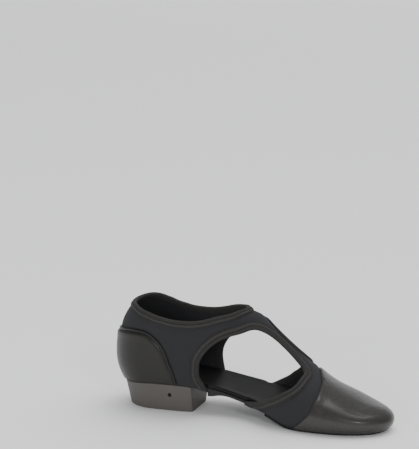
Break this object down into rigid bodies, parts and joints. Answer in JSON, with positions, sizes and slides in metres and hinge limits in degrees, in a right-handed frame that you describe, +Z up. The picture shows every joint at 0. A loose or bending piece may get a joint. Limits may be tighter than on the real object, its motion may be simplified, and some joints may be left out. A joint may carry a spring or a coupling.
{
  "type": "jazz shoe",
  "caption": "Left jazz dance shoe with a soft cloth upper open on both sides of the arch, leather toe cap and heel counter, bound edges, thin forefoot sole and low block heel.",
  "frame": {"origin": "centre of the heel block's contact with the floor", "axes": "+X from the heel to the toe, +Z up, -Y to the inner (medial) side of this left shoe"},
  "size_m": [0.2526, 0.0866, 0.0917],
  "materials": {
    "knit_fabric": "soft matt cloth with a fine grain",
    "toe_leather": "smooth semi-gloss leather",
    "counter_leather": "smooth semi-gloss leather",
    "binding_tape": "matt elastic tape",
    "insole_lining": "smooth dark lining",
    "board": "matt dark board",
    "outsole_leather": "matt suede",
    "heel_rubber": "satin moulded rubber"
  },
  "bodies": {
    "root": {"upper": "knit_fabric", "toe_cap": "toe_leather", "heel_counter": "counter_leather", "binding_collar": "binding_tape", "binding_medial": "binding_tape", "binding_lateral": "binding_tape", "insole": "insole_lining", "sole_board": "board", "forefoot_outsole": "outsole_leather", "heel_block": "heel_rubber"}
  },
  "joints": []
}
